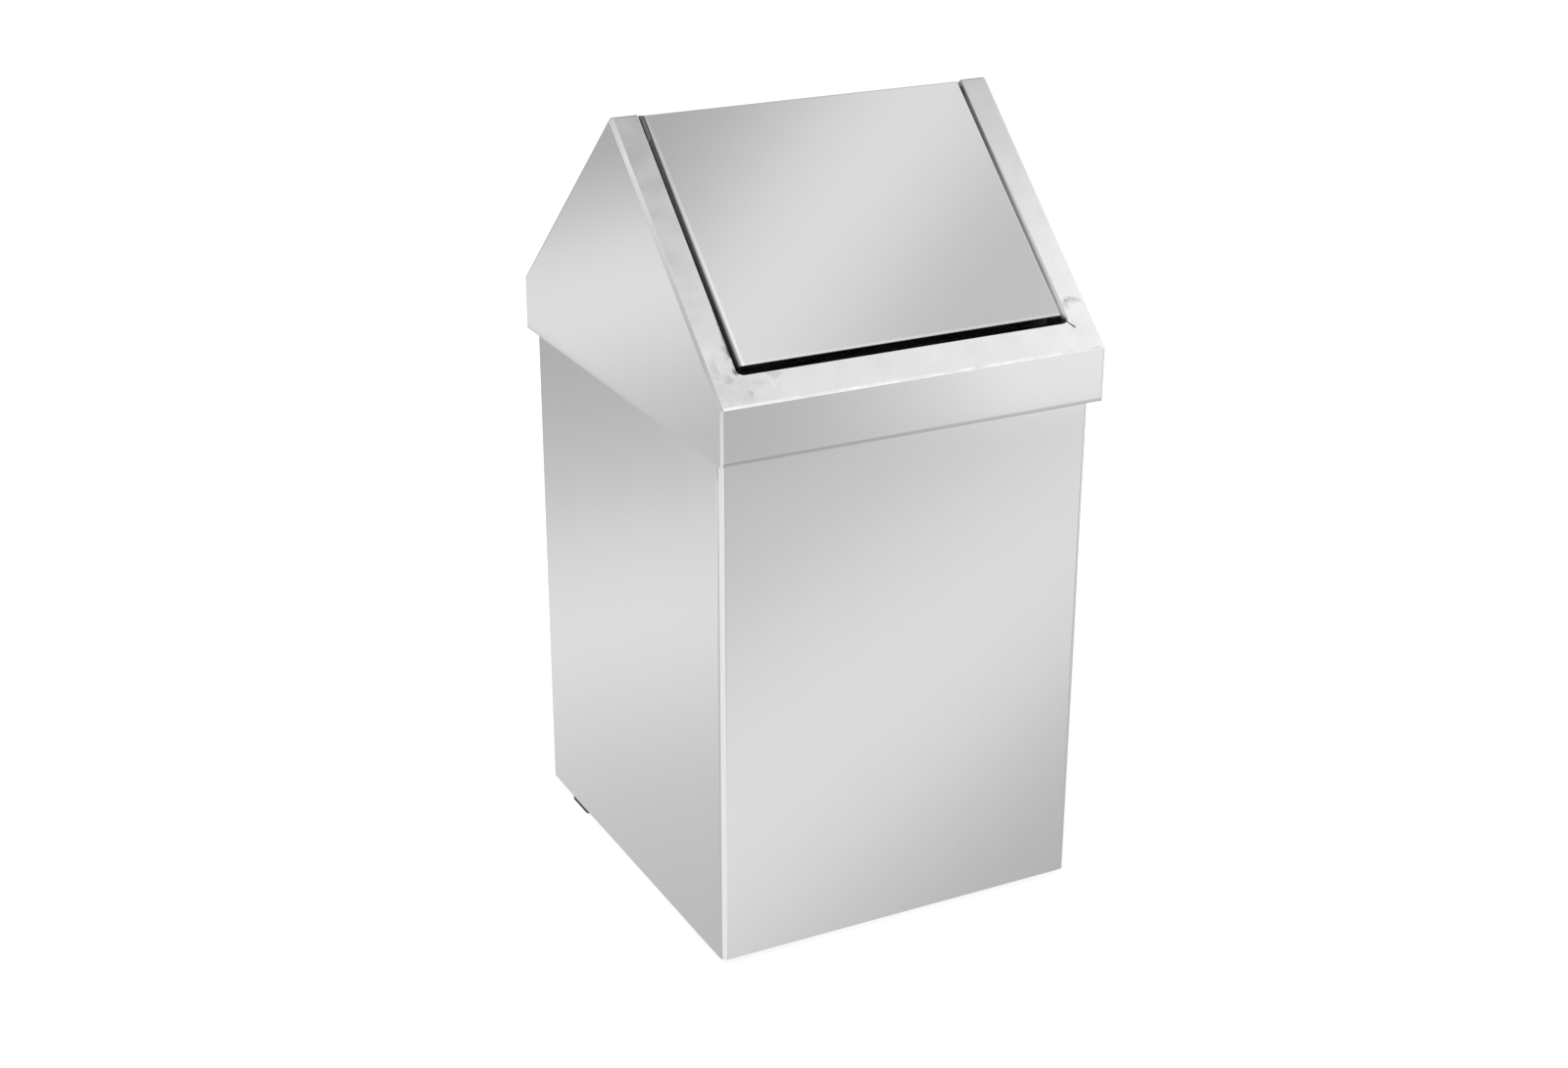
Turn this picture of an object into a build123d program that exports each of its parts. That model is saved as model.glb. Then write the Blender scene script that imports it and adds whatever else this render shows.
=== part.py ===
from build123d import *
import math
import os

# A countertop waste bin of folded sheet steel: an open bin on four feet, a hood that drops over its rim, and a flap
# shaped like a roof that swings on an axle under the hood's ridge.
# Millimetres. X is the width, the front is -Y, +Z is up, and the origin is on the table under the middle of the bin.

# Overall sizes
hood_width = 160.0
hood_depth = 183.0
eave_height = 225.7             # bin's bottom edge to the fold between skirt and roof
roof_rise = 84.2                # eave to ridge
skirt_height = 21.6             # eave down to the skirt's free edge
foot_drop = 3.5                 # how far the feet stand out below the bin's bottom edge

# Sheet and folds
sheet = 0.8
inner_bend = 0.8                # inside radius of the hood's folds
bin_inner_bend = 1.8            # the bin is folded softer
flap_inner_bend = 0.2           # the flap is folded sharper
lip_bend = 0.9                  # outside radius where a lip is folded down
seam_gap = 0.4                  # butt joint down the back of the bin

# Bin
hood_side_play = 1.4            # hood skirt to bin, left and right
hood_end_play = 5.2             # hood skirt to bin, front and rear
rim_below_eave = 6.0
rim_flange = 7.0
rim_return = 5.0
pan_recess = 5.0                # base pan's underside above the bin's bottom edge
pan_flange = 12.0
pan_clearance = 0.1
seam_strip_width = 16.0
seam_strip_margin = 1.0

# Feet and their fasteners
foot_side = 16.0
foot_corner = 1.5
foot_chamfer = 0.4
foot_wall_gap = 0.2
foot_end_distance = 27.5        # foot's centre to the bin's front or rear face
front_foot_set_in = 3.0         # front feet stand this much further in than the rear ones
screw_radius = 2.0
screw_hole_clearance = 0.2
thread_clearance = 0.02
screw_head_radius = 3.8
screw_head_height = 2.4
screw_head_sink = 1.6           # head above the table
screw_head_edge = 0.8
counterbore_clearance = 0.5
slot_width = 1.0
slot_depth = 1.0
washer_radius = 4.5
washer_thickness = 0.8
nut_across_flats = 7.0
nut_height = 3.2
screw_tail = 0.8                # screw standing out above its nut

# Hood
strip_width = 11.4              # roof strips either side of the flap
rail_width = 12.0               # roof rails below the flap, measured up the slope
window_corner = 2.5
window_edge = 0.5               # outside radius where a strip's lip is folded down
skirt_edge = 0.6                # rounding of the front and rear skirts' free edges
mitre_slit_length = 3.0         # end of the mitre left open by the weld, at the window's right-hand corner
mitre_slit_width = 0.5
lip_depth = 6.0
seat_leg = 10.0
seat_length = 118.0

# Flap and its axle
flap_side_gap = 1.55
flap_shift = 0.45               # flap's middle to the right of the hood's
flap_end_gap = 3.9
flap_sink = 0.5                 # flap's skin below the hood's skin
flap_flange = 5.0
flap_notch = 0.4
pivot_drop = 7.0                # axle's centre below the hood's ridge
axle_radius = 2.0
axle_tail = 1.0
axle_chamfer = 0.4
ear_radius = 7.5
running_clearance = 0.05
fixed_clearance = 0.02

# Hinge plates, bushes and clips
hinge_plate = 1.2
hinge_plate_half_width = 14.0
hinge_plate_foot_half_width = 9.5
hinge_plate_gap = 0.3
hinge_plate_margin = 3.0
hinge_plate_corner = 3.0
hinge_plate_shoulder = 4.0      # upright stretch of the plate's edge under the roof
stop_distance = 30.0            # axle's centre to the top of the stop tab
stop_height = 8.0
stop_length = 8.0
stop_slot = 7.0
bush_wall = 1.2
bush_flange = 0.5
bush_flange_radius = 4.0
bush_tail = 0.5
ear_spacer_gap = 0.05           # spacer plate to the left bush's flange
clip_thickness = 0.8
clip_headroom = 0.45            # clip's rim to the underside of the roof
clip_gap = 0.3
clip_slot = 1.2

# Levels and half sizes that follow
slack = sheet / 4               # tolerance for finding an edge by its place
outer_bend = inner_bend + sheet
flap_bend = flap_inner_bend + sheet
bin_bend = bin_inner_bend + sheet
pan_bend = bin_inner_bend - pan_clearance
edge_z = foot_drop
eave_z = edge_z + eave_height
ridge_z = eave_z + roof_rise
skirt_z = eave_z - skirt_height
rim_z = eave_z - rim_below_eave
pan_z = edge_z + pan_recess
pivot_z = ridge_z - pivot_drop
slope = math.atan2(roof_rise, hood_depth / 2)
slope_length = math.hypot(roof_rise, hood_depth / 2)
bin_width = hood_width - 2 * (sheet + hood_side_play)
bin_depth = hood_depth - 2 * (sheet + hood_end_play)
window_half_width = hood_width / 2 - strip_width
flap_half_width = window_half_width - flap_side_gap
flap_end = rail_width + flap_end_gap
hinge_face = window_half_width + sheet
hinge_back = hinge_face + hinge_plate
bush_radius = axle_radius + running_clearance + bush_wall
bush_back = hinge_back + bush_tail
clip_face = bush_back + clip_gap
clip_radius = pivot_drop * math.cos(slope) - sheet - clip_headroom
axle_half_length = clip_face + clip_thickness + axle_tail
reach = hood_width + hood_depth  # longer than anything that it cuts through

sides = {"left": -1, "right": 1}
ends = {"front": -1, "rear": 1}


def on_slope(along, depth):
    """Point (y, z) on the front slope: a distance up it from the eave and a depth below the hood's skin."""
    y = -hood_depth / 2 + along * math.cos(slope) + depth * math.sin(slope)
    z = eave_z + along * math.sin(slope) - depth * math.cos(slope)
    return y, z


def under_ridge(depth):
    return 0.0, ridge_z - depth / math.cos(slope)


def mirrored(point):
    return -point[0], point[1]


def across(points, start, stop):
    """Solid with an outline given in (y, z), from x = start to x = stop."""
    outline = Plane.YZ * make_face(Polyline(*points, close=True))
    return Pos(start, 0, 0) * extrude(outline, stop - start, dir=(1, 0, 0))


def cylinder_x(radius, start, stop):
    disc = Plane.YZ.offset(start) * Circle(radius)
    return Pos(0, 0, pivot_z) * extrude(disc, stop - start)


def ring_x(outer_radius, inner_radius, start, stop):
    return cylinder_x(outer_radius, start, stop) - cylinder_x(inner_radius, start, stop)


def box_between(low, high):
    size = [b - a for a, b in zip(low, high)]
    centre = [(a + b) / 2 for a, b in zip(low, high)]
    return Pos(*centre) * Box(*size)


def roof_block(inset, bottom, radius):
    """The hood's outline as a solid block, drawn in by a distance, with every edge but the bottom ones rounded."""
    half_depth = hood_depth / 2 - inset
    ridge = under_ridge(inset)
    eave = (-half_depth, ridge[1] - half_depth * math.tan(slope))
    foot = (-half_depth, bottom)
    half_width = hood_width / 2 - inset
    block = across([foot, eave, ridge, mirrored(eave), mirrored(foot)], -half_width, half_width)
    folds = block.edges().filter_by(lambda edge: edge.center().Z > bottom + radius)
    return fillet(folds, radius)


def chevron(depth_from, depth_to, along, half_width):
    """Roof-shaped slab between two depths below the hood's skin, down to a distance above the eave."""
    top = [on_slope(along, depth_from), under_ridge(depth_from), mirrored(on_slope(along, depth_from))]
    under = [mirrored(on_slope(along, depth_to)), under_ridge(depth_to), on_slope(along, depth_to)]
    return across(top + under, -half_width, half_width)


def roof_plane(end):
    """Plane of one slope's skin: its origin is mid-width on the eave, X runs to the right and Y up the slope."""
    towards = ends[end]
    up_slope = Vector(0, -towards * math.cos(slope), math.sin(slope))
    x_dir = Vector(-towards, 0, 0)
    return Plane(origin=(0, towards * hood_depth / 2, eave_z), x_dir=x_dir, z_dir=x_dir.cross(up_slope))


def roof_window(end):
    """Cutter for the opening in one slope, with its lower corners rounded."""
    outline = Pos(0, rail_width) * Rectangle(2 * window_half_width, slope_length, align=(Align.CENTER, Align.MIN))
    low_corners = outline.vertices().sort_by(Axis.Y)[:2]
    return extrude(roof_plane(end) * fillet(low_corners, window_corner), lip_depth, both=True)


def mitre_slit(end):
    """Cutter along the mitre, from inside the window's right-hand corner to the end of the weld."""
    corner = Vector(window_half_width, rail_width)
    along = (Vector(hood_width / 2 - outer_bend, 0) - corner).normalized()
    middle = corner + along * (mitre_slit_length - window_corner) / 2
    angle = math.degrees(math.atan2(along.Y, along.X))
    outline = Rectangle(mitre_slit_length + window_corner, mitre_slit_width)
    return extrude(roof_plane(end) * Pos(middle.X, middle.Y) * Rot(0, 0, angle) * outline, lip_depth, both=True)


def rail_region(end):
    """Everything of the hood that belongs to one rail: its skirt, and its slope between the two mitres."""
    seam = hood_width / 2 - outer_bend
    mitre_pitch = rail_width * math.sin(slope) / (seam - window_half_width)
    meeting = (0, eave_z + seam * mitre_pitch)
    points = [(-seam, 0), (-seam, eave_z), meeting, (seam, eave_z), (seam, 0)]
    outline = Plane.XZ * make_face(Polyline(*points, close=True))
    return extrude(outline, ends[end] * hood_depth, dir=(0, 1, 0))


def hood_skin():
    skin = roof_block(0, skirt_z, outer_bend) - roof_block(sheet, skirt_z - reach, inner_bend)
    for end in ends:
        skin = skin - roof_window(end) - mitre_slit(end)
    return skin


def gable(side, skin):
    """Side wall of the hood with its skirt, its two roof strips and the lips folded down along the opening."""
    towards = sides[side]
    half = box_between((0, -reach, 0), (reach, reach, reach))
    if towards < 0:
        half = box_between((-reach, -reach, 0), (0, reach, reach))
    wall = (skin - rail_region("front") - rail_region("rear")) & half
    lip_band = chevron(0, lip_depth, rail_width + window_corner, reach)
    lip_ear = cylinder_x(ear_radius, -reach, reach) & chevron(0, roof_rise, 0, reach)
    slab = box_between((window_half_width, -reach, 0), (hinge_face, reach, reach))
    lip = (lip_band + lip_ear) & slab & roof_block(0, skirt_z, outer_bend)
    hole = cylinder_x(bush_radius + fixed_clearance, 0, reach)
    lip = lip - hole
    if towards < 0:
        lip = mirror(lip, Plane.YZ)
    body = wall + lip
    folds = body.edges().filter_by(lambda edge: on_window_edge(edge, towards))
    return fillet(folds, window_edge)


def on_window_edge(edge, towards):
    """True for the edges of a strip's skin along the window, over the ridge as well."""
    centre = edge.center()
    level = ridge_z - abs(centre.Y) * math.tan(slope)
    at_window = abs(centre.X - towards * window_half_width) < slack
    return at_window and level - sheet < centre.Z < level + slack


def rail(end, skin):
    """Front or rear of the hood: skirt, sloping rail and the lip folded down along the opening."""
    wall = skin & rail_region(end)
    lip_half = window_half_width - window_corner
    outer_top = on_slope(rail_width, 0)
    outer_low = on_slope(rail_width, lip_depth)
    inner_low = on_slope(rail_width - sheet, lip_depth)
    inner_top = on_slope(rail_width - sheet, 0)
    points = [outer_top, outer_low, inner_low, inner_top]
    if ends[end] > 0:
        points = [mirrored(point) for point in points]
    body = wall + across(points, -lip_half, lip_half)
    free_edge = body.edges().filter_by(Axis.X).filter_by(on_skirt_edge)
    return fillet(free_edge, skirt_edge)


def on_skirt_edge(edge):
    centre = edge.center()
    return abs(centre.Z - skirt_z) < slack and abs(centre.Y) > hood_depth / 2 - slack


def hinge_plate_piece(side):
    """Plate welded behind the strip's lip: it holds the bush, and a tab lanced out of it stops the flap."""
    low = pivot_z - stop_distance - stop_height - hinge_plate_margin
    cap = on_slope(0, sheet + hinge_plate_gap)
    shoulder_z = cap[1] - (hinge_plate_half_width + cap[0]) * math.tan(slope)
    shoulder = (-hinge_plate_half_width, shoulder_z)
    waist = (-hinge_plate_half_width, shoulder_z - hinge_plate_shoulder)
    foot = (-hinge_plate_foot_half_width, low)
    top = under_ridge(sheet + hinge_plate_gap)
    points = [foot, waist, shoulder, top, mirrored(shoulder), mirrored(waist), mirrored(foot)]
    plate = across(points, hinge_face, hinge_back)
    low_edges = plate.edges().filter_by(Axis.X).sort_by(Axis.Z)[:2]
    plate = fillet(low_edges, hinge_plate_corner)
    tab_top = pivot_z - stop_distance
    tab_low = tab_top - stop_height
    half_tab = hinge_plate / 2
    slot = box_between((0, half_tab, tab_low), (reach, half_tab + stop_slot, tab_top))
    tab = box_between((hinge_face - stop_length, -half_tab, tab_low), (hinge_back, half_tab, tab_top))
    plate = plate - slot + tab - cylinder_x(bush_radius + fixed_clearance, 0, reach)
    return plate if sides[side] > 0 else mirror(plate, Plane.YZ)


def bush(side):
    """Flanged plastic bush in the lip and the hinge plate."""
    barrel = cylinder_x(bush_radius, window_half_width, bush_back)
    flange = cylinder_x(bush_flange_radius, window_half_width - bush_flange, window_half_width)
    body = barrel + flange - cylinder_x(axle_radius + running_clearance, 0, reach)
    return body if sides[side] > 0 else mirror(body, Plane.YZ)


def seat_angle(side):
    """Angle welded inside a gable: its level leg sits on the bin's rim."""
    wall_x = hood_width / 2 - sheet
    middle = sheet / 2
    corner = (wall_x - middle, rim_z + middle)
    level_end = (wall_x - seat_leg, rim_z + middle)
    upright_end = (wall_x - middle, rim_z + seat_leg)
    path = FilletPolyline(level_end, corner, upright_end, radius=inner_bend + middle)
    section = trace(path, line_width=sheet)
    angle = Pos(0, seat_length / 2, 0) * extrude(Plane.XZ * section, seat_length)
    return angle if sides[side] > 0 else mirror(angle, Plane.YZ)


def swing_flap():
    """Roof-shaped flap folded from one sheet, with flanges all round and an ear at each end of its ridge."""
    under_skin = flap_sink + sheet
    outside = chevron(flap_sink, flap_sink + flap_flange, flap_end, flap_half_width)
    inside = chevron(under_skin, under_skin + flap_flange, flap_end + sheet, flap_half_width - sheet)
    outside = fillet(skin_edges(outside, flap_sink, flap_end), flap_bend)
    inside = fillet(skin_edges(inside, under_skin, flap_end + sheet), flap_inner_bend)
    tray = outside - inside
    ear_slab = chevron(flap_sink + flap_bend, roof_rise, 0, flap_half_width)
    ear_slab -= chevron(0, hood_depth, -reach, flap_half_width - sheet)
    tray += cylinder_x(ear_radius, -reach, reach) & ear_slab
    for towards in sides.values():
        tray -= flange_notch(towards)
        tray -= mirror(flange_notch(towards), Plane.XZ)
    return Pos(flap_shift, 0, 0) * tray - cylinder_x(axle_radius + fixed_clearance, -reach, reach)


def skin_edges(slab, depth, along):
    """Edges of a chevron's upper skin: its ridge, its two lower edges and its four sloping edges."""
    corners = [on_slope(along, depth), under_ridge(depth), mirrored(on_slope(along, depth))]

    def on_skin(vertex):
        return any(math.hypot(vertex.Y - y, vertex.Z - z) < slack for y, z in corners)

    return slab.edges().filter_by(lambda edge: all(on_skin(vertex) for vertex in edge.vertices()))


def flange_notch(towards):
    """Slanted cut that frees the end of a side flange from the lower flange."""
    start = on_slope(flap_end - sheet, flap_sink + flap_bend)
    free = on_slope(flap_end - sheet, flap_sink + 2 * flap_flange)
    slant = on_slope(flap_end + 2 * flap_flange - flap_bend, flap_sink + 2 * flap_flange)
    inner_x = flap_half_width - sheet - flap_notch
    near, far = sorted((towards * inner_x, towards * (flap_half_width + sheet)))
    return across([start, free, slant], near, far)


def flap_axle():
    rod = cylinder_x(axle_radius, -axle_half_length, axle_half_length)
    return chamfer(rod.edges().filter_by(GeomType.CIRCLE), axle_chamfer)


def ear_spacer():
    """Plate welded outside the flap's left ear, with the ear's outline: it fills the gap at the ridge."""
    ear_face = flap_shift - flap_half_width
    outer_face = bush_flange + ear_spacer_gap - window_half_width
    plate = cylinder_x(ear_radius, outer_face, ear_face) & chevron(flap_sink, roof_rise, 0, reach)
    top_edge = plate.edges().filter_by(Axis.X).sort_by(Axis.Z)[-1]
    plate = fillet(top_edge, flap_bend)
    return plate - cylinder_x(axle_radius + fixed_clearance, -reach, reach)


def axle_clips():
    """Push-on spring clips: rings with a slot across the axle's side."""
    ring = ring_x(clip_radius, axle_radius + fixed_clearance, clip_face, clip_face + clip_thickness)
    half_slot = clip_slot / 2
    slot = box_between((clip_face - sheet, -half_slot, pivot_z), (reach, half_slot, ridge_z))
    clip = ring - slot
    return [clip, mirror(clip, Plane.YZ)]


def rounded_box(inset, low, high, radius, rounded_end):
    """Upright block inside the bin's outline, with its standing edges and its top or bottom edges rounded."""
    half_width = bin_width / 2 - inset
    half_depth = bin_depth / 2 - inset
    block = box_between((-half_width, -half_depth, low), (half_width, half_depth, high))
    standing = block.edges().filter_by(Axis.Z)
    level = block.edges().group_by(Axis.Z)[rounded_end]
    return fillet(standing + level, radius)


def mouth_block(inset, low, high):
    half_width = bin_width / 2 - rim_flange + inset
    half_depth = bin_depth / 2 - rim_flange + inset
    block = box_between((-half_width, -half_depth, low), (half_width, half_depth, high))
    return fillet(block.edges().filter_by(Axis.Z), inner_bend + inset)


def bin_shell():
    """Folded four-sided wall, butt-jointed down the back, with its rim turned in and down."""
    outside = rounded_box(0, edge_z, rim_z, bin_bend, -1)
    inside = rounded_box(sheet, edge_z - reach, rim_z - sheet, bin_inner_bend, -1)
    return_low = rim_z - rim_return
    rim_lip = mouth_block(sheet, return_low, rim_z - sheet / 2) - mouth_block(0, return_low - reach, rim_z + reach)
    shell = outside - inside - mouth_block(0, return_low, rim_z + reach) + rim_lip
    mouth_edges = shell.edges().filter_by(on_mouth_edge)
    shell = fillet(mouth_edges, lip_bend)
    half_gap = seam_gap / 2
    return shell - box_between((-half_gap, 0, 0), (half_gap, reach, reach))


def on_mouth_edge(edge):
    centre = edge.center()
    within_width = abs(centre.X) < bin_width / 2 - rim_flange + slack
    within_depth = abs(centre.Y) < bin_depth / 2 - rim_flange + slack
    return within_width and within_depth and abs(centre.Z - rim_z) < slack


def seam_strip():
    """Backing strip behind the bin's butt joint."""
    inner_y = bin_depth / 2 - sheet
    low = pan_z + pan_flange + seam_strip_margin
    high = rim_z - bin_bend - seam_strip_margin
    half = seam_strip_width / 2
    return box_between((-half, inner_y - sheet, low), (half, inner_y, high))


def base_pan():
    """Floor of the bin: a shallow tray with its flanges turned up against the walls."""
    inset = sheet + pan_clearance
    top = pan_z + pan_flange
    outside = rounded_box(inset, pan_z, top, pan_bend, 0)
    inside = rounded_box(inset + sheet, pan_z + sheet, top + reach, pan_bend - sheet, 0)
    pan = outside - inside
    for x, y in foot_places():
        pan -= Pos(x, y, 0) * standing(screw_radius + screw_hole_clearance, pan_z - sheet, pan_z + 2 * sheet)
    return pan


def foot_places():
    rear_x = bin_width / 2 - sheet - foot_wall_gap - foot_side / 2
    x = {"front": rear_x - front_foot_set_in, "rear": rear_x}
    y = bin_depth / 2 - foot_end_distance
    return [(sides[side] * x[end], ends[end] * y) for end in ends for side in sides]


def standing(radius, low, high):
    return Pos(0, 0, low) * Cylinder(radius, high - low, align=(Align.CENTER, Align.CENTER, Align.MIN))


def foot():
    """Square rubber foot with a counterbored screw hole."""
    body = extrude(RectangleRounded(foot_side, foot_side, foot_corner), pan_z)
    body = chamfer(body.edges().group_by(Axis.Z)[0], foot_chamfer)
    bore_top = screw_head_sink + screw_head_height
    body -= standing(screw_head_radius + counterbore_clearance, -sheet, bore_top)
    return body - standing(screw_radius + screw_hole_clearance, 0, pan_z + sheet)


def foot_screw():
    head_top = screw_head_sink + screw_head_height
    head = standing(screw_head_radius, screw_head_sink, head_top)
    head = fillet(head.edges().sort_by(Axis.Z)[0], screw_head_edge)
    half_slot = slot_width / 2
    slot = box_between((-reach, -half_slot, 0), (reach, half_slot, screw_head_sink + slot_depth))
    tail = pan_z + sheet + washer_thickness + nut_height + screw_tail
    return head - slot + standing(screw_radius, head_top, tail)


def foot_washer():
    low = pan_z + sheet
    high = low + washer_thickness
    return standing(washer_radius, low, high) - standing(screw_radius + screw_hole_clearance, low, high)


def foot_nut():
    low = pan_z + sheet + washer_thickness
    outline = RegularPolygon(nut_across_flats / 2, 6, major_radius=False)
    body = Pos(0, 0, low) * extrude(outline, nut_height)
    return body - standing(screw_radius + thread_clearance, low, low + nut_height)


def at_feet(shape):
    return [Pos(x, y, 0) * shape for x, y in foot_places()]


def save(shape, node):
    shapes = shape if isinstance(shape, list) else [shape]
    solids = [solid for piece in shapes for solid in piece.solids()]
    model = solids[0] if len(solids) == 1 else Compound(children=solids)
    export_step(model, f"parts/{node}.step")


os.makedirs("parts", exist_ok=True)

save(bin_shell(), "bin_shell")
save(seam_strip(), "seam_strip")
save(base_pan(), "base_pan")
corner_names = [f"{end}_{side}" for end in ends for side in sides]
for corner, placed_foot in zip(corner_names, at_feet(foot())):
    save(placed_foot, f"{corner}_foot")
save(at_feet(foot_screw()), "foot_screws")
save(at_feet(foot_washer()), "foot_washers")
save(at_feet(foot_nut()), "foot_nuts")

skin = hood_skin()
for side in sides:
    save(gable(side, skin), f"{side}_gable")
    save(hinge_plate_piece(side), f"{side}_hinge_plate")
    save(bush(side), f"{side}_bush")
    save(seat_angle(side), f"{side}_seat_angle")
for end in ends:
    save(rail(end, skin), f"{end}_rail")

save(swing_flap(), "swing_flap")
save(flap_axle(), "flap_axle")
save(ear_spacer(), "ear_spacer")
save(axle_clips(), "axle_clips")
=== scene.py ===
# %% [markdown]
# # A countertop bin with a swing lid, dressed in Blender
#
# The bin is folded from thin stainless sheet: an open four-sided bin, a hood with two gables that drops
# over its rim, and a roof-shaped flap that swings between two strips of the hood.
#
# The construction comes ready made, with every piece at its real size, so no piece is modelled here. What
# is left for Blender is what the eye reads: the satin of the sheet, the hand-ground hood, the rubber and
# the plastic, and a studio that the metal can mirror. The construction is loaded and measured first,
# because several finishes find their place by its sizes.

# %% Load the construction
import math

import bpy
from mathutils import Matrix, Vector


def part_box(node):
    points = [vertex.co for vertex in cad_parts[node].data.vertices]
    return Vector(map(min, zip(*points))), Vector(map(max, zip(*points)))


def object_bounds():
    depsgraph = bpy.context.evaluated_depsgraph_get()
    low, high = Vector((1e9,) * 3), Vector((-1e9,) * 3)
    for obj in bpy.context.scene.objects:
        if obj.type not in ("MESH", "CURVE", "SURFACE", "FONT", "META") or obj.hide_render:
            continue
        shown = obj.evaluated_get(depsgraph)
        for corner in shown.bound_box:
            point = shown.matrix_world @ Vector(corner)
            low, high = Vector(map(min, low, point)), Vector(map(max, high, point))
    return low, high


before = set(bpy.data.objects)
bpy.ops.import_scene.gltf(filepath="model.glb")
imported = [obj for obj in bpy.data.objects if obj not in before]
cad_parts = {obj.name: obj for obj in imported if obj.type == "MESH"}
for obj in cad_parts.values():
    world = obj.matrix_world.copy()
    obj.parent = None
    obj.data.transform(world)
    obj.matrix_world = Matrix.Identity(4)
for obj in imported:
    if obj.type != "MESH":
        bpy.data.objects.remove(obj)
cad_low, cad_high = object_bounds()
mm = 0.001
print("pieces:", len(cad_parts))
print("size in mm:", [round((b - a) / mm, 1) for a, b in zip(cad_low, cad_high)])

# %% [markdown]
# ## The camera
#
# A small bin stands on a worktop, so it is seen from a little above, and a longish lens keeps its upright
# edges nearly upright. A camera can be placed by coordinates, but it is easier to think of the point that
# it looks at, a distance, and two angles that say from which side. It is also rolled by a small fraction
# of a degree, because a tripod is never quite level.

# %% Camera
AZIMUTH = math.radians(-27.24)
ELEVATION = math.radians(22.47)
ROLL = math.radians(0.17)
DISTANCE = 980.4 * mm
TARGET = Vector((-8.9, -1.8, 136.8)) * mm
LENS = 55.97
SENSOR_WIDTH = 36.0

camera_data = bpy.data.cameras.new("camera")
camera_data.lens = LENS
camera_data.sensor_width = SENSOR_WIDTH
camera = bpy.data.objects.new("camera", camera_data)
bpy.context.scene.collection.objects.link(camera)
bpy.context.scene.camera = camera

level_back = Vector((math.sin(AZIMUTH), -math.cos(AZIMUTH), 0.0))
back = level_back * math.cos(ELEVATION) + Vector((0.0, 0.0, math.sin(ELEVATION)))
right = Vector((math.cos(AZIMUTH), math.sin(AZIMUTH), 0.0))
up = back.cross(right)
rolled_right = right * math.cos(ROLL) + up * math.sin(ROLL)
rolled_up = up * math.cos(ROLL) - right * math.sin(ROLL)
turn = Matrix((rolled_right, rolled_up, back)).transposed()
camera.matrix_world = Matrix.Translation(TARGET + back * DISTANCE) @ turn.to_4x4()
print("camera at", [round(value, 3) for value in camera.matrix_world.translation])

# %% [markdown]
# ## Sums on sockets
#
# Much of a finish is plain arithmetic: how high a point lies, how far it is from an edge. In Blender each
# step of that arithmetic is a Math node, and a page of them is hard to read back. One small class wraps a
# socket and overloads + - * and /, so that a sum written in Python adds its own nodes. The reflected
# forms let a plain number come first, as in 1 - mask.

# %% A socket that sums like a number
class Value:
    def __init__(self, shader, socket):
        self.shader = shader
        self.socket = socket

    def maths(self, operation, other):
        return self.shader.node("ShaderNodeMath", {"operation": operation}, [self, other])

    def reflected(self, operation, other):
        return self.shader.node("ShaderNodeMath", {"operation": operation}, [other, self])

    def absolute(self):
        return self.shader.node("ShaderNodeMath", {"operation": "ABSOLUTE"}, [self])

    def __add__(self, other):
        return self.maths("ADD", other)

    def __sub__(self, other):
        return self.maths("SUBTRACT", other)

    def __mul__(self, other):
        return self.maths("MULTIPLY", other)

    def __truediv__(self, other):
        return self.maths("DIVIDE", other)

    def __rsub__(self, other):
        return self.reflected("SUBTRACT", other)

    def __rtruediv__(self, other):
        return self.reflected("DIVIDE", other)

    __radd__ = __add__
    __rmul__ = __mul__


print("a Value takes part in + - * / with numbers and other Values")

# %% [markdown]
# ## A material under construction
#
# Every other node comes from one method. It takes the node's type, its settings, and the values or links
# of its sockets. The settings go in first, because some of them change what the sockets are. Metal,
# rubber and plastic are all made with Blender's Principled surface: it holds the physics of each, and a
# finish only has to say how rough, how metallic and how light the surface is from place to place.

# %% A material and its nodes
def grey(tone):
    return (tone, tone, tone, 1.0)


def set_stops(ramp, stops):
    while len(ramp.elements) < len(stops):
        ramp.elements.new(1.0)
    for element, (place, tone) in zip(ramp.elements, stops):
        element.position = place
        element.color = grey(tone)


class Shader:
    def __init__(self, name):
        self.material = bpy.data.materials.new(name)
        self.material.use_nodes = True
        self.tree = self.material.node_tree
        self.surface = next(node for node in self.tree.nodes if node.type == "BSDF_PRINCIPLED")

    def node(self, kind, settings=None, inputs=(), output=0):
        made = self.tree.nodes.new(kind)
        for key, setting in (settings or {}).items():
            if key == "stops":
                set_stops(made.color_ramp, setting)
            elif key == "interpolation":
                made.color_ramp.interpolation = setting
            else:
                setattr(made, key, setting)
        pairs = inputs.items() if isinstance(inputs, dict) else enumerate(inputs)
        for key, given in pairs:
            if isinstance(given, Value):
                self.tree.links.new(given.socket, made.inputs[key])
            else:
                made.inputs[key].default_value = given
        return Value(self, made.outputs[output])

    def feed(self, socket, value):
        """Lets a value drive a socket of the surface."""
        self.tree.links.new(value.socket, self.surface.inputs[socket])

    def fix(self, socket, constant):
        """Gives a socket of the surface one value all over."""
        self.surface.inputs[socket].default_value = constant


print("a Shader is one new material and its nodes")

# %% [markdown]
# ## Reading a place on a piece
#
# A finish depends on where a point lies and which way the surface faces there. Both are read in the
# piece's own coordinates, in metres, so the finish travels with the piece when it moves. The other way
# would be to unwrap each piece and paint it, but every fold would then be a seam, and a change of size
# would stretch the paint. A ramp turns a number into a tone, a noise gives the unevenness that handwork
# leaves, and a noise on a stretched place becomes streaks.

# %% Reading and mixing
def piece_place(shader):
    return shader.node("ShaderNodeTexCoord", output="Object")


def piece_facing(shader):
    return shader.node("ShaderNodeTexCoord", output="Normal")


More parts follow.
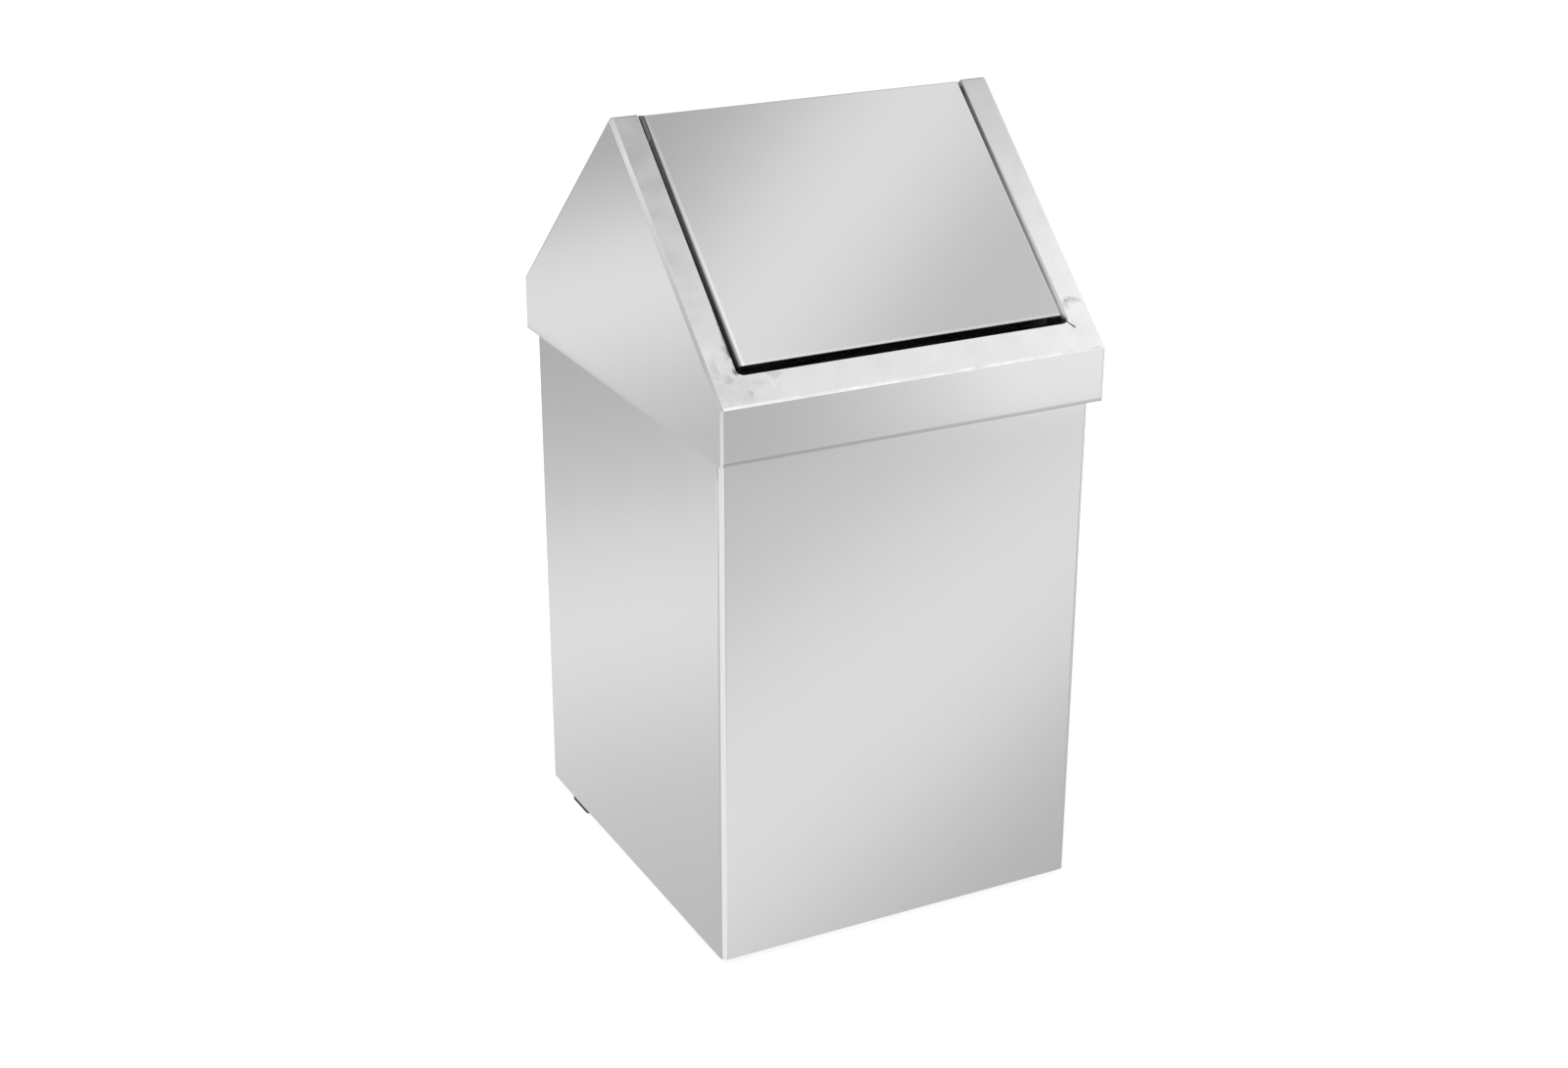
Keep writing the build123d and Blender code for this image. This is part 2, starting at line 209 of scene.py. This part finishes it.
def part_along(vector, axis):
    return vector.shader.node("ShaderNodeSeparateXYZ", inputs=[vector], output=axis)


def vector_maths(operation, first, second, output="Vector"):
    return first.shader.node("ShaderNodeVectorMath", {"operation": operation}, [first, second], output)


def ramp(value, *stops, interpolation="LINEAR"):
    """Tone looked up along a row of (place, tone) stops."""
    return value.shader.node("ShaderNodeValToRGB", {"stops": stops, "interpolation": interpolation}, [value])


def noise(place, scale, detail, roughness):
    inputs = {"Vector": place, "Scale": scale, "Detail": detail, "Roughness": roughness}
    return place.shader.node("ShaderNodeTexNoise", inputs=inputs)


def swing(unevenness, amount):
    """A noise as more and less, to be added to what it makes uneven."""
    return (unevenness - 0.5) * amount


def between(share, first, second):
    """Number that goes from the first to the second as the share goes from 0 to 1."""
    return share.shader.node("ShaderNodeMix", {"data_type": "FLOAT"}, {0: share, 2: first, 3: second})


def as_colour(tone):
    inputs = {0: tone, 6: grey(0.0), 7: grey(1.0)}
    return tone.shader.node("ShaderNodeMix", {"data_type": "RGBA"}, inputs, output=2)


def bump(height, strength, distance, under=None):
    """Relief of a height, on top of the relief under it."""
    inputs = {"Height": height, "Strength": strength, "Distance": distance}
    if under:
        inputs["Normal"] = under
    return height.shader.node("ShaderNodeBump", inputs=inputs)


print("readings: place and facing; mixes: ramp, noise, swing, between, colour and bump")

# %% [markdown]
# ## Satin sheet
#
# The sheet is cold-rolled stainless with a fine satin: faint grain lines, a soft mirror and hardly any
# colour. The grain could be a picture of brushed steel, but a picture repeats. Here it is a noise
# stretched along the rolling direction, so that it reads as hair-thin lines. The long waves that sheet
# keeps from rolling and folding are a second noise, hundreds of times wider, and they bend what the metal
# mirrors.
#
# Only the outside was finished. What looks inwards keeps the dull grey of the mill, and so do the narrow
# faces beside the flap: they scatter light where a mirror would be black. Inwards means towards the
# middle of the bin, which a dot product tells without naming a single face.

# %% Satin sheet
MIDDLE = (0.0, 0.0, cad_high.z / 2)
MILL_TONE, MILL_ROUGHNESS, MILL_METALLIC = 0.62, 0.5, 0.3
MILL_EDGE = 20 * mm
GRAIN_HEIGHT, GRAIN_STRENGTH = 0.0004 * mm, 0.25
GRAIN_IN_TONE, GRAIN_IN_ROUGHNESS = 0.03, 0.04
WAVE_HEIGHT, WAVE_IN_TONE = 0.05 * mm, 0.02


def looks_inwards(place, facing):
    """1 on what looks towards the middle of the bin, and 0 on what looks away from it."""
    from_middle = vector_maths("SUBTRACT", place, MIDDLE)
    outwards = vector_maths("DOT_PRODUCT", from_middle, facing, "Value")
    return ramp(outwards / MILL_EDGE + 0.5, (0.4, 1.0), (0.6, 0.0))


def satin(shader, tone, roughness, along, hidden=None, mill_tone=MILL_TONE):
    """Rolled sheet. The grain cuts each axis as finely as along says, and hidden adds more mill finish."""
    place, facing = piece_place(shader), piece_facing(shader)
    grain = noise(vector_maths("MULTIPLY", place, along), scale=3000.0, detail=2.0, roughness=0.6)
    waves = noise(place, scale=9.0, detail=1.0, roughness=0.4)
    shader.feed("Normal", bump(grain, GRAIN_STRENGTH, GRAIN_HEIGHT, under=bump(waves, 1.0, WAVE_HEIGHT)))
    mill = looks_inwards(place, facing)
    if hidden:
        mill = mill.maths("MAXIMUM", hidden)
    shade = between(mill, tone + swing(waves, WAVE_IN_TONE), mill_tone) + swing(grain, GRAIN_IN_TONE)
    shader.feed("Base Color", as_colour(shade))
    shader.feed("Roughness", between(mill, roughness, MILL_ROUGHNESS) + swing(grain, GRAIN_IN_ROUGHNESS))
    shader.feed("Metallic", between(mill, 1.0, MILL_METALLIC))


print("mill finish:", MILL_TONE, "grain height in mm:", GRAIN_HEIGHT / mm)

# %% [markdown]
# ## The plain steels
#
# The bin's wall is satin sheet from top to bottom. The pan, the hinge plates and the angles were never
# polished, and the screws and clips are turned or pressed. The spacer beside the flap's ear is toned dark
# as painted shade, for the shadow of the narrow gap it sits in. Each could have a recipe of its own, but
# they are the same metal in different states, so one recipe with other tones and roughnesses keeps them in
# one family.

# %% Plain steels
UPRIGHT_GRAIN = (1.0, 1.0, 0.01)
WALL_TONE, WALL_ROUGHNESS = 0.80, 0.12


def plain_steel(name, tone, roughness, mill_tone=MILL_TONE):
    shader = Shader(name)
    satin(shader, tone, roughness, UPRIGHT_GRAIN, mill_tone=mill_tone)
    return shader.material


finishes = {
    "wall": plain_steel("satin_wall_steel", WALL_TONE, WALL_ROUGHNESS),
    "inner": plain_steel("mill_inner_steel", 0.60, 0.36),
    "fastener": plain_steel("bright_fastener_steel", 0.62, 0.25),
    # The spacer's dark tone is painted shade for the narrow gap it sits in.
    "spacer": plain_steel("gap_shade_darkened_steel", 0.20, 0.45, mill_tone=0.15),
}
print("plain steels:", ", ".join(finishes))

# %% [markdown]
# ## Finding the way on the roof
#
# The flap and the hood change from the eave to the ridge, and from left to right. Two shares between 0
# and 1 tell a finish where it is, and a third number says how much the surface faces sideways, which
# picks out the folds. Each finish could work them out for itself, but written once they mean the same
# everywhere, and the front and rear slopes are finished by the same words.

# %% The roof's shares
SKIRT_HEIGHT, ROOF_RISE = 21.6 * mm, 84.2 * mm
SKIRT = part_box("front_rail")[0].z
EAVE = SKIRT + SKIRT_HEIGHT
HALF_WIDTH, HALF_DEPTH = cad_high.x, cad_high.y
SLOPE = math.atan2(ROOF_RISE, HALF_DEPTH)


def up_the_roof(place):
    """0 at the eave and 1 at the ridge."""
    return (part_along(place, "Z") - EAVE) / ROOF_RISE


def across_the_hood(place):
    """0 at the left side and 1 at the right side."""
    return part_along(place, "X") / HALF_WIDTH * 0.5 + 0.5


def sideways(facing):
    return part_along(facing, "X").absolute()


print("roof slope in degrees:", round(math.degrees(SLOPE), 1))

# %% [markdown]
# ## The flap's left fold
#
# The fold on the flap's left looks rounder than the others and widens downwards: it is dark on its outer
# side, with a bright line where it meets the flat face. Such a line could be a strip laid on the metal,
# but on the real flap it is only light on a curve. Two ramps over the distance from the edge make it, and
# a third fades the bright one towards the ridge.

# %% Left fold
FOLD_REACH, FOLD_WIDENING = 4 * mm, 0.12
FLAP_LEFT_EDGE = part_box("swing_flap")[0][0]


def left_fold_shade(place, height):
    """Factor on the tone beside the flap's left edge: below 1 on the fold, and above 1 on the bright line."""
    inwards = (part_along(place, "X") - FLAP_LEFT_EDGE) / FOLD_REACH - (1.0 - height) * FOLD_WIDENING
    dark = ramp(inwards, (0.0, 0.68), (0.05, 0.62), (0.12, 0.34), (0.19, 0.0))
    bright = ramp(inwards, (0.13, 0.0), (0.22, 0.2), (0.32, 0.2), (0.54, 0.0))
    return 1.0 - dark + bright * ramp(height, (0.0, 0.9), (0.5, 1.3), (0.85, 1.0), (1.0, 0.0))


print("flap's left edge in mm:", round(FLAP_LEFT_EDGE / mm, 1))

# %% [markdown]
# ## The flap
#
# The flap is the same satin sheet as the walls, with its grain across. Its folds carry painted shade and
# are darker than its faces: the side folds most near the ridge, the lower ones most at the right. The flanges
# beside the gaps were hardly finished, least of all near the ridge. The folds could be cut off as faces with
# materials of their own, but each tone would then end in a hard line. Here they are told apart by the way
# they face: a ramp on that direction gives a mask with a soft edge.

# %% Flap
FLAP_GRAIN = (1.0, 0.01, 0.01)


def flap_steel(name):
    shader = Shader(name)
    place, facing = piece_place(shader), piece_facing(shader)
    height = up_the_roof(place)
    aside = sideways(facing)
    on_side_fold = ramp(aside, (0.10, 0.0), (0.35, 1.0))
    on_low_fold = ramp(part_along(facing, "Z"), (0.3, 1.0), (0.68, 0.0))
    # Painted shade on the side folds, deepest near the ridge, and on the lower fold, deepest at the right.
    side_fold_painted_shade = ramp(height, (0.0, 0.76), (0.4, 0.73), (0.7, 0.55), (1.0, 0.36))
    low_fold_painted_shade = ramp(across_the_hood(place), (0.1, 0.78), (0.35, 0.70), (0.65, 0.56), (1.0, 0.54))
    tone = between(on_side_fold, between(on_low_fold, WALL_TONE, low_fold_painted_shade), side_fold_painted_shade)
    tone *= left_fold_shade(place, height)
    on_flange = ramp(aside, (0.93, 0.0), (0.98, 1.0))
    hidden = on_flange * ramp(height, (0.1, 0.1), (1.0, 0.7))
    satin(shader, tone, WALL_ROUGHNESS, FLAP_GRAIN, hidden=hidden)
    return shader.material


finishes["flap"] = flap_steel("satin_flap_steel")
print("flap:", finishes["flap"].name)

# %% [markdown]
# ## Marks on the ground frame
#
# The hood's narrow roof frame was welded at the window's corners and ground by hand, which left smudges
# and nicks there. They could be scattered at random, but real ones sit at the welds, so each has a place
# of its own; the last two in the list are painted shade along the window's left edge. A mark is a ramp
# over the distance from its centre. Its outline is ragged because a noise is added to that distance, and
# squeezing an axis draws the mark out along it.

# %% Marks
RAGGEDNESS = 1.6
SMUDGES_AND_PAINTED_SHADE = [  # place across and up the front slope in mm, squeeze of the axes, spread in mm, depth
    ((-68.0, 6.0), (1.0, 1.0, 1.0), 16.0, 0.07),
    ((-72.6, 11.3), (1.0, 1.0, 1.0), 2.6, 0.18),
    ((-66.3, 4.6), (1.0, 1.0, 1.0), 2.0, 0.20),
    ((-61.0, 8.6), (0.5, 1.0, 1.0), 1.8, 0.08),
    ((-55.2, 11.0), (0.5, 1.0, 1.0), 1.8, 0.16),
    ((-76.5, 16.0), (1.0, 0.5, 0.5), 2.2, 0.10),
    ((-69.6, 22.5), (1.0, 0.3, 0.3), 1.5, 0.22),
    ((70.2, 10.4), (1.0, 1.0, 1.0), 1.2, 0.30),
    ((73.6, 21.6), (0.4, 1.0, 1.0), 1.9, 0.34),
    ((70.8, 20.2), (0.8, 0.6, 0.6), 1.6, 0.26),
    # The last two are painted shade along the window's left edge, low on the slope.
    ((-68.7, 27.5), (1.0, 0.075, 0.075), 1.0, 0.50),
    ((-69.3, 13.6), (1.0, 0.5, 0.5), 1.3, 0.60),
]


def on_front_slope(across, along):
    """Point on the hood's front slope."""
    return (across * mm, along * mm * math.cos(SLOPE) - HALF_DEPTH, EAVE + along * mm * math.sin(SLOPE))


def mark(place, centre, squeeze, spread):
    """1 in the middle of a ragged spot, and 0 beyond its spread."""
    offset = vector_maths("MULTIPLY", vector_maths("SUBTRACT", place, centre), squeeze)
    distance = place.shader.node("ShaderNodeVectorMath", {"operation": "LENGTH"}, [offset], "Value")
    ragged = noise(place, scale=380.0, detail=2.0, roughness=0.6)
    return ramp(distance / spread + swing(ragged, RAGGEDNESS), (0.0, 1.0), (0.4, 0.8), (1.0, 0.0))


print("marks:", len(SMUDGES_AND_PAINTED_SHADE))

# %% [markdown]
# ## The tone of the ground frame
#
# Ground steel is duller than satin, and its tone carries a painted sheen: grey at the ridge, lighter
# near the eave and lightest at the right.
# Soft blotches lie over it, stronger towards the sides, and near the eave there are fine specks. One
# noise with many octaves could give all of that at once, but nothing in it could be set by itself. Here
# each is one term of a sum, so each can be turned up or down without the others.

# %% Ground tone
def ground_marks_and_painted_sheen(place, height, across, blotches):
    specks = noise(place, scale=420.0, detail=2.0, roughness=0.5)
    towards_sides = ramp(across, (0.0, 0.8), (0.22, 0.25), (0.8, 0.2), (1.0, 0.6))
    # Painted sheen: darker towards the ridge, and lighter towards the right near the eave.
    ground = ramp(height, (0.0, 0.87), (0.35, 0.83), (0.55, 0.78), (1.0, 0.68))
    ground += ramp(height, (0.0, 0.09), (0.3, 0.15), (0.5, 0.12), (1.0, 0.0)) * across
    ground += swing(blotches, towards_sides) * ramp(height, (0.0, 0.40), (0.5, 0.26), (1.0, 0.2))
    near_eave = ramp(height, (0.0, 1.0), (0.3, 0.0))
    ground -= ramp(specks, (0.62, 0.0), (0.75, 0.12)) * towards_sides * near_eave
    for (side, along), squeeze, spread, depth in SMUDGES_AND_PAINTED_SHADE:
        ground -= mark(place, on_front_slope(side, along), squeeze, spread * mm) * depth
    return ground


print("ground tone: from ridge to eave, from left to right, blotches, specks and marks")

# %% [markdown]
# ## The lips that line the window
#
# The frame is folded inwards around the window, and the narrow lips show through the gaps around the
# flap. They were never finished, and their tone is painted light and shade: nearly black along the eave as
# painted shade, light where the side gaps begin as painted light, and darker again towards the ridge.
# They could be given a material of their own by picking their faces, but a pick is lost when the piece
# is made anew. So they are found by place: all that looks inwards and lies no further out than the
# window's sides counts as lip, and what lies further out keeps the grey of the mill.

# %% Lips
STRIP_WIDTH = 11.4 * mm
WINDOW_HALF_WIDTH = HALF_WIDTH - STRIP_WIDTH


def lip_painted_light_and_shade(place, height):
    """Tone of the mill finish: painted shade and light by height within the window's width, and even beyond
    it.
    """
    reach = part_along(place, "X").absolute() / WINDOW_HALF_WIDTH - 0.5
    beside_window = ramp(reach, (0.52, 1.0), (0.53, 0.0))
    along = ramp(height, (0.10, 0.03), (0.125, 0.90), (0.25, 0.70), (0.5, 0.60), (0.8, 0.34), (1.0, 0.28))
    return between(beside_window, MILL_TONE, along)


print("window's half width in mm:", round(WINDOW_HALF_WIDTH / mm, 1))

# %% [markdown]
# ## Where the hood is ground and where light is painted
#
# The hood's side walls and skirts keep the satin of the sheet, and only its roof frame is ground. Its
# folds carry painted light: painted shade along the left gable, a painted tone that makes the eave fold's
# mirrored highlight bright and ragged, and painted shade on the crest of the ridge. The free edges of the
# front and rear skirts carry a thin painted shadow line. A mask could be painted for each, but all of them
# follow the shape: a mask is a ramp on the way the surface faces, and for the free edge on its height. One
# ramp times another keeps only where both hold.

# %% Where the hood is ground and where light is painted
FREE_EDGE_REACH = 2 * mm


def frame_mask(upward):
    return ramp(upward, (0.25, 0.0), (0.60, 1.0))


def crest_mask(upward):
    return ramp(upward, (0.80, 0.0), (0.95, 1.0))


def left_fold_mask(facing, upward):
    leftward = 0.0 - part_along(facing, "X")
    rounded = ramp(leftward, (0.10, 0.0), (0.35, 1.0), (0.93, 1.0), (1.0, 0.0))
    return rounded * ramp(upward, (0.05, 0.0), (0.2, 1.0))


def eave_fold_mask(upward, aside):
    rounded = ramp(upward, (0.08, 0.0), (0.2, 1.0), (0.6, 1.0), (0.7, 0.0))
    return rounded * ramp(aside, (0.0, 1.0), (0.2, 0.0))


def free_edge_mask(place, aside):
    low = ramp((part_along(place, "Z") - SKIRT) / FREE_EDGE_REACH, (0.6, 1.0), (0.9, 0.0))
    return low * ramp(aside, (0.2, 1.0), (0.6, 0.0))


print("skirt's free edge in mm:", round(SKIRT / mm, 1))

# %% [markdown]
# ## The ground hood
#
# On the real hood one finish runs into the next without a border: the grinding wheel ran over the frame
# and a little way down its folds. Four materials on four kinds of faces would show their borders. So the
# whole hood is one material, which mixes its tones in turn: sheet, ground frame with its painted sheen,
# the painted shade and highlight of the folds, and the painted shadow at the free edge. The grinding also
# took the mirror away, so the frame is rougher than the walls, more in some patches than in others.

# %% Ground hood
CREST_PAINTED_SHADE = 0.35
EAVE_FOLD_HIGHLIGHT_TONE, EAVE_FOLD_UNEVENNESS = 0.90, 0.5
SKIRT_EDGE_PAINTED_SHADOW = 0.58
ADDED_ROUGHNESS, PATCH_ROUGHNESS = 0.22, 0.2


def ground_steel(name):
    shader = Shader(name)
    place, facing = piece_place(shader), piece_facing(shader)
    height, across = up_the_roof(place), across_the_hood(place)
    upward, aside = part_along(facing, "Z"), sideways(facing)
    blotches = noise(place, scale=110.0, detail=3.0, roughness=0.55)
    ragged = noise(place, scale=160.0, detail=2.0, roughness=0.5)
    on_frame = frame_mask(upward)

    tone = between(on_frame, WALL_TONE, ground_marks_and_painted_sheen(place, height, across, blotches))
    # Painted shade along the left gable's fold, varying with height.
    gable_fold_painted_shade = ramp(height, (0.0, 0.50), (0.16, 0.43), (0.34, 0.47), (0.52, 0.55), (0.85, 0.66), (1.0, 0.54))
    tone = between(left_fold_mask(facing, upward), tone, gable_fold_painted_shade)
    # Painted shade on the crest of the ridge, where the rounded fold turns away.
    tone *= 1.0 - crest_mask(upward) * CREST_PAINTED_SHADE
    # The eave fold mirrors a real highlight; this painted tone makes it bright and ragged.
    eave_fold_painted_highlight = EAVE_FOLD_HIGHLIGHT_TONE + swing(ragged, EAVE_FOLD_UNEVENNESS)
    tone = between(eave_fold_mask(upward, aside), tone, eave_fold_painted_highlight)
    # A thin painted shadow line along the skirts' free edge.
    tone = between(free_edge_mask(place, aside), tone, SKIRT_EDGE_PAINTED_SHADOW)
    roughness = WALL_ROUGHNESS + on_frame * ADDED_ROUGHNESS + swing(blotches, on_frame) * PATCH_ROUGHNESS
    satin(shader, tone, roughness, UPRIGHT_GRAIN, mill_tone=lip_painted_light_and_shade(place, height))
    return shader.material


finishes["hood"] = ground_steel("ground_hood_steel")
print("hood:", finishes["hood"].name)

# %% [markdown]
# ## Rubber and plastic
#
# The feet are moulded rubber, dull and a little dusty, and the bushes that the axle turns in are a harder
# black plastic. A flat black would look like a hole in the picture, because nothing real is quite even. A
# fine noise stands for the pores and breaks up the shine, and a coarser one lightens the black like dust.
# One recipe makes both, since only their tone and roughness differ.

# %% Rubber and plastic
PORE_HEIGHT, PORE_STRENGTH, PORES_IN_ROUGHNESS = 0.02 * mm, 0.3, 0.2
DUST_TONE = 0.02


def moulded(name, tone, roughness):
    shader = Shader(name)
    place = piece_place(shader)
    pores = noise(place, scale=1800.0, detail=3.0, roughness=0.6)
    dust = noise(place, scale=120.0, detail=3.0, roughness=0.6)
    shader.feed("Base Color", as_colour(tone + dust * DUST_TONE))
    shader.feed("Roughness", roughness + swing(pores, PORES_IN_ROUGHNESS))
    shader.feed("Normal", bump(pores, PORE_STRENGTH, PORE_HEIGHT))
    return shader.material


finishes["rubber"] = moulded("black_foot_rubber", 0.02, 0.75)
finishes["plastic"] = moulded("black_bush_plastic", 0.03, 0.5)
print("moulded:", finishes["rubber"].name, finishes["plastic"].name)

# %% [markdown]
# ## Dressing the pieces
#
# A piece wears a finish through its material slot. Every piece here is made of one material, so its slots
# are emptied and a single finish goes in. That could be done where each finish is made, but one list of
# who wears what is easier to check against the real parts.

# %% Dress the pieces
wearers = {
    "wall": ["bin_shell"],
    "hood": ["left_gable", "right_gable", "front_rail", "rear_rail"],
    "flap": ["swing_flap"],
    "spacer": ["ear_spacer"],
    "inner": [
        "seam_strip", "base_pan",
        "left_hinge_plate", "right_hinge_plate", "left_seat_angle", "right_seat_angle",
    ],
    "fastener": ["foot_screws", "foot_washers", "foot_nuts", "flap_axle", "axle_clips"],
    "rubber": [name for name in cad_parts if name.endswith("_foot")],
    "plastic": ["left_bush", "right_bush"],
}
for finish, names in wearers.items():
    for name in names:
        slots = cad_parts[name].data.materials
        slots.clear()
        slots.append(finishes[finish])
print("dressed:", {finish: len(names) for finish, names in wearers.items()})

# %% [markdown]
# ## The studio floor
#
# The bin stands on a white floor that runs out to white behind it. The floor could be lit until it is
# white, but such light would burn out the metal too. It glows a little instead, so it turns white without
# strong lamps, and it still takes the soft shadow under the bin. Reflections don't see it: what the metal
# mirrors from below are the cards, which come next.

# %% Floor
ROOM = 3.0
FLOOR_HEIGHT = -0.05 * mm
FLOOR_TONE, FLOOR_ROUGHNESS, FLOOR_GLOW = 0.25, 0.9, 0.8


def plane(name, low_corner, high_corner, height):
    (x0, y0), (x1, y1) = low_corner, high_corner
    corners = [(x0, y0, height), (x1, y0, height), (x1, y1, height), (x0, y1, height)]
    mesh = bpy.data.meshes.new(name)
    mesh.from_pydata(corners, [], [(0, 1, 2, 3)])
    made = bpy.data.objects.new(name, mesh)
    bpy.context.scene.collection.objects.link(made)
    return made


floor = plane("studio_floor", (-2 * ROOM, -2 * ROOM), (2 * ROOM, 2 * ROOM), FLOOR_HEIGHT)
pale = Shader("pale_floor")
pale.fix("Base Color", grey(FLOOR_TONE))
pale.fix("Emission Color", grey(1.0))
pale.fix("Emission Strength", FLOOR_GLOW)
pale.fix("Roughness", FLOOR_ROUGHNESS)
floor.data.materials.append(pale.material)
floor.visible_glossy = False
print("floor:", floor.name, "of", 4 * ROOM, "m each way")

# %% [markdown]
# ## A reflector card
#
# Bright sheet metal shows the room more than itself. In a white room it would be a flat white, so grey
# cards with soft bands of light lie around the bin, and they draw the slow diagonal sheen on each face.
# The bands could come from many lamps and black flags, as in a real studio. A card that glows by a ramp
# along one direction gives the same sheen and can be set by a few numbers. Only reflections see the
# cards.

# %% Reflector card
def card(name, low_corner, high_corner, height, heading, reach, levels):
    """A glowing sheet: its levels of light run along a heading, in degrees from +X, between two reaches."""
    shader = Shader(name)
    shader.fix("Base Color", grey(0.0))
    shader.fix("Specular IOR Level", 0.0)
    shader.fix("Emission Strength", 1.0)
    line = (math.cos(math.radians(heading)), math.sin(math.radians(heading)), 0.0)
    place = shader.node("ShaderNodeNewGeometry", output="Position")
    start, end = reach
    share = (vector_maths("DOT_PRODUCT", place, line, "Value") - start) / (end - start)
    shader.feed("Emission Color", ramp(share, *levels, interpolation="CARDINAL"))
    made = plane(name, low_corner, high_corner, height)
    made.data.materials.append(shader.material)
    for way in ("visible_camera", "visible_diffuse", "visible_shadow", "visible_transmission"):
        setattr(made, way, False)


WALL_X, WALL_Y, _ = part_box("bin_shell")[1]
print("cards begin at the bin's walls, in mm:", round(WALL_X / mm, 1), round(WALL_Y / mm, 1))

# %% [markdown]
# ## Cards around the bin's foot
#
# A wall that is seen from above mirrors the floor in front of it: its foot mirrors the floor close by,
# and its top the floor half a metre away. So each wall has a card that begins right under it. The cards
# lie a millimetre under the floor, which reflections look through. One card all round would be simpler,
# but then every face would have the same sheen. The front has two, one behind the other: the bin's wall
# mirrors the near one, and the skirt above it the far one. On the left there is one more, just below the
# level of the hood's edge: the hood mirrors it and the bin doesn't. A corner card closes the place
# between front and left.

# %% Low cards
LOW = -1 * mm
GABLE_LEVEL = 0.19
SPLIT_Y = -0.578

card("front_near", (-WALL_X, SPLIT_Y), (ROOM, -WALL_Y), LOW, heading=58, reach=(-0.38, 0.62), levels=[
    (0.0, 0.64), (0.1, 0.77), (0.19, 0.89), (0.26, 0.80), (0.33, 0.59), (0.38, 0.66), (0.5, 1.1),
    (0.68, 0.70), (1.0, 0.85),
])
card("front_far", (-WALL_X, -ROOM), (ROOM, SPLIT_Y), LOW, heading=22, reach=(-0.06, 0.18), levels=[
    (0.0, 0.56), (0.3, 0.67), (0.6, 0.86), (0.85, 1.04), (1.0, 1.12),
])
card("left", (-ROOM, -WALL_Y), (-WALL_X, ROOM), LOW, heading=94, reach=(-0.05, 0.65), levels=[
    (0.0, 0.605), (0.2, 0.72), (0.42, 0.87), (0.68, 0.68), (1.0, 0.52),
])
card("left_high", (-1.0, -WALL_Y), (-0.1, 0.9), GABLE_LEVEL, heading=68, reach=(-0.054, 0.304), levels=[
    (0.0, 0.62), (0.22, 0.775), (0.44, 0.875), (0.68, 0.74), (1.0, 0.51),
])
card("corner", (-ROOM, -ROOM), (-WALL_X, -WALL_Y), LOW, heading=225, reach=(0.3, 1.3), levels=[
    (0.0, 1.15), (0.4, 0.85), (1.0, 0.6),
])
card("rear", (-WALL_X, WALL_Y), (ROOM, ROOM), LOW, heading=90, reach=(0.09, 0.7), levels=[
    (0.0, 1.05), (0.3, 0.75), (0.55, 0.6), (0.8, 0.85), (1.0, 0.7),
])
card("right", (WALL_X, -WALL_Y), (ROOM, WALL_Y), LOW, heading=0, reach=(0.08, 0.6), levels=[
    (0.0, 1.05), (0.25, 0.8), (0.5, 0.62), (0.75, 0.85), (1.0, 0.7),
])
print("low cards on the floor, and one at", GABLE_LEVEL, "m")

# %% [markdown]
# ## Cards overhead
#
# The two roof slopes look up, so they mirror what hangs above the bin. Four cards stand in for the soft
# boxes under a studio's ceiling. One would be enough for the front slope as the camera sees it: it hangs
# above on the right and carries the sheen. The others lie around it, so that the metal mirrors something
# just as soft when the flap swings or the bin is seen from another side.

# %% High cards
HIGH = 0.8

card("above", (0.0, -0.3), (0.46, 0.2), HIGH, heading=135, reach=(-0.46, -0.17), levels=[
    (0.0, 0.64), (0.2, 0.65), (0.38, 0.79), (0.58, 0.89), (0.78, 0.72), (1.0, 0.50),
])
card("above_right", (0.46, -0.3), (1.5, 0.2), HIGH, heading=0, reach=(0.46, 1.2), levels=[
    (0.0, 1.15), (0.3, 0.9), (1.0, 0.6),
])
card("above_front", (-1.5, -2.0), (1.5, -0.3), HIGH, heading=270, reach=(0.3, 2.0), levels=[
    (0.0, 1.15), (0.4, 1.1), (0.6, 0.85), (1.0, 0.6),
])
card("above_rear", (-1.5, 0.2), (1.5, 2.0), HIGH, heading=90, reach=(0.2, 1.6), levels=[
    (0.0, 0.95), (0.4, 0.75), (1.0, 0.6),
])

# %% [markdown]
# ## The white room and one lamp
#
# The rest of the light comes from the room itself, which is white all round. That alone would light every
# side alike, so one lamp high on the front left gives the light a direction. A small lamp would draw hard
# shadows, and a large one draws soft ones, as the cloth over a studio lamp does. Reflections don't see
# it, so it leaves no white square on the metal. The Standard view keeps white white, where a film-like
# view would grey it.

# %% World and lamp
ROOM_LIGHT = 1.15
LAMP_PLACE = Vector((-0.8, -1.0, 1.5))
LAMP_AIM = Vector((0.0, 0.0, 0.15))
LAMP_SIZE, LAMP_POWER = 1.0, 12.0

world = bpy.data.worlds.new("studio")
world.use_nodes = True
background = world.node_tree.nodes["Background"]
background.inputs["Color"].default_value = grey(1.0)
background.inputs["Strength"].default_value = ROOM_LIGHT
bpy.context.scene.world = world

key_data = bpy.data.lights.new("key", "AREA")
key_data.shape = "SQUARE"
key_data.size = LAMP_SIZE
key_data.energy = LAMP_POWER
key = bpy.data.objects.new("key", key_data)
key.location = LAMP_PLACE
key.rotation_mode = "QUATERNION"
key.rotation_quaternion = (LAMP_AIM - LAMP_PLACE).to_track_quat("-Z", "Y")
key.visible_glossy = False
bpy.context.scene.collection.objects.link(key)

bpy.context.scene.view_settings.view_transform = "Standard"
print("room light:", ROOM_LIGHT, "lamp in W:", LAMP_POWER)
